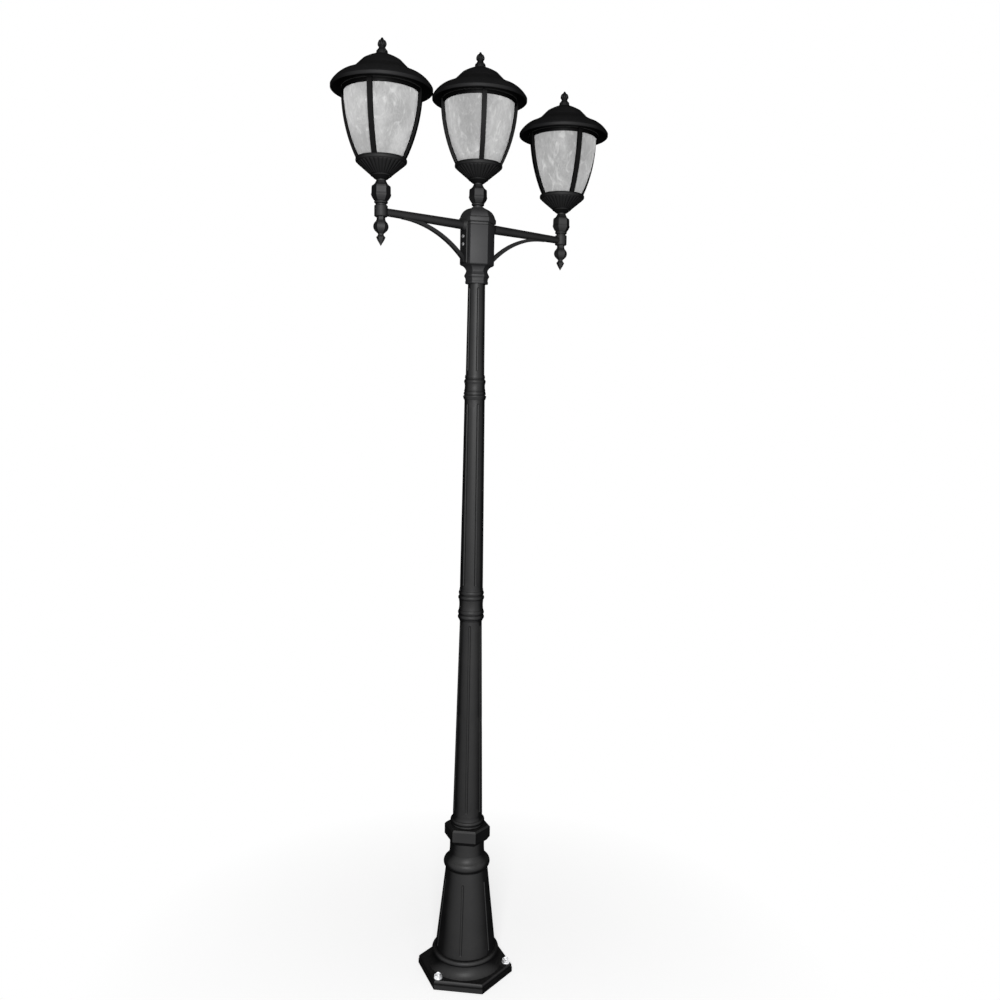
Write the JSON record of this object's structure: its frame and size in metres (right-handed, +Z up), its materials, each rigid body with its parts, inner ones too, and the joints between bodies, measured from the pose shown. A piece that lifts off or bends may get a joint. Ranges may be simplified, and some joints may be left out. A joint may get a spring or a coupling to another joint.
{
  "type": "triple head lamp post",
  "caption": "Tall garden lamp post with a fluted post, two bracketed side arms and three brimmed lanterns with ribbed clouded glass.",
  "frame": {"origin": "centre of the foot, on the ground", "axes": "+Z up the post, +X along the right arm, -X along the left arm"},
  "size_m": [0.869, 0.2706, 2.604],
  "materials": {
    "coated_aluminium": "semi-matte black powder coat on cast aluminium",
    "blackened_steel": "blackened screws",
    "zinc_steel": "bright zinc",
    "brass_stem": "plain",
    "ceramic": "glazed ceramic",
    "bulb_glass": "frosted",
    "clouded_glass": "clouded, marbled white",
    "gasket": "matte",
    "terminal": "moulded"
  },
  "bodies": {
    "post": {"pedestal": "coated_aluminium", "lower_shaft": "coated_aluminium", "lower_collar": "coated_aluminium", "middle_shaft": "coated_aluminium", "upper_collar": "coated_aluminium", "upper_shaft": "coated_aluminium", "hub": "coated_aluminium", "hub_cap": "coated_aluminium", "right_arm": "coated_aluminium", "left_arm": "coated_aluminium", "arm_screws": "zinc_steel", "right_pendant": "coated_aluminium", "left_pendant": "coated_aluminium", "anchor_washers": "zinc_steel", "anchor_nuts": "zinc_steel", "terminal_block": "terminal", "earth_screw": "zinc_steel", "left_coupler": "coated_aluminium", "left_stem": "brass_stem", "left_stem_nut": "brass_stem", "left_lamp_holder": "ceramic", "middle_coupler": "coated_aluminium", "middle_stem": "brass_stem", "middle_stem_nut": "brass_stem", "middle_lamp_holder": "ceramic", "right_coupler": "coated_aluminium", "right_stem": "brass_stem", "right_stem_nut": "brass_stem", "right_lamp_holder": "ceramic"},
    "left_lantern": {"left_bowl": "coated_aluminium", "left_glass_seat": "gasket", "left_glass": "clouded_glass", "left_cage": "coated_aluminium", "left_cage_screws": "blackened_steel", "left_bridge": "zinc_steel"},
    "left_roof_unit": {"left_roof": "coated_aluminium", "left_roof_ring": "gasket"},
    "left_finial_unit": {"left_finial": "coated_aluminium"},
    "left_bulb_unit": {"left_bulb": "bulb_glass"},
    "middle_lantern": {"middle_bowl": "coated_aluminium", "middle_glass_seat": "gasket", "middle_glass": "clouded_glass", "middle_cage": "coated_aluminium", "middle_cage_screws": "blackened_steel", "middle_bridge": "zinc_steel"},
    "middle_roof_unit": {"middle_roof": "coated_aluminium", "middle_roof_ring": "gasket"},
    "middle_finial_unit": {"middle_finial": "coated_aluminium"},
    "middle_bulb_unit": {"middle_bulb": "bulb_glass"},
    "right_lantern": {"right_bowl": "coated_aluminium", "right_glass_seat": "gasket", "right_glass": "clouded_glass", "right_cage": "coated_aluminium", "right_cage_screws": "blackened_steel", "right_bridge": "zinc_steel"},
    "right_roof_unit": {"right_roof": "coated_aluminium", "right_roof_ring": "gasket"},
    "right_finial_unit": {"right_finial": "coated_aluminium"},
    "right_bulb_unit": {"right_bulb": "bulb_glass"}
  },
  "joints": [
    {"name": "left_swivel", "type": "hinge", "parent": "post", "child": "left_lantern", "pos_m": [-0.3065, 0, 2.2238], "axis": [0, 0, 1], "continuous": true},
    {"name": "left_roof_lift", "type": "slide", "parent": "left_lantern", "child": "left_roof_unit", "axis": [0, 0, 1], "range_m": [0, 0.12]},
    {"name": "left_finial_turn", "type": "hinge", "parent": "left_roof_unit", "child": "left_finial_unit", "pos_m": [-0.3065, 0, 2.5255], "axis": [0, 0, 1], "continuous": true},
    {"name": "left_bulb_turn", "type": "hinge", "parent": "post", "child": "left_bulb_unit", "pos_m": [-0.3065, 0, 2.251], "axis": [0, 0, 1], "continuous": true},
    {"name": "middle_swivel", "type": "hinge", "parent": "post", "child": "middle_lantern", "pos_m": [0, 0, 2.2608], "axis": [0, 0, 1], "continuous": true},
    {"name": "middle_roof_lift", "type": "slide", "parent": "middle_lantern", "child": "middle_roof_unit", "axis": [0, 0, 1], "range_m": [0, 0.12]},
    {"name": "middle_finial_turn", "type": "hinge", "parent": "middle_roof_unit", "child": "middle_finial_unit", "pos_m": [0, 0, 2.5625], "axis": [0, 0, 1], "continuous": true},
    {"name": "middle_bulb_turn", "type": "hinge", "parent": "post", "child": "middle_bulb_unit", "pos_m": [0, 0, 2.288], "axis": [0, 0, 1], "continuous": true},
    {"name": "right_swivel", "type": "hinge", "parent": "post", "child": "right_lantern", "pos_m": [0.3065, 0, 2.2238], "axis": [0, 0, 1], "continuous": true},
    {"name": "right_roof_lift", "type": "slide", "parent": "right_lantern", "child": "right_roof_unit", "axis": [0, 0, 1], "range_m": [0, 0.12]},
    {"name": "right_finial_turn", "type": "hinge", "parent": "right_roof_unit", "child": "right_finial_unit", "pos_m": [0.3065, 0, 2.5255], "axis": [0, 0, 1], "continuous": true},
    {"name": "right_bulb_turn", "type": "hinge", "parent": "post", "child": "right_bulb_unit", "pos_m": [0.3065, 0, 2.251], "axis": [0, 0, 1], "continuous": true}
  ]
}
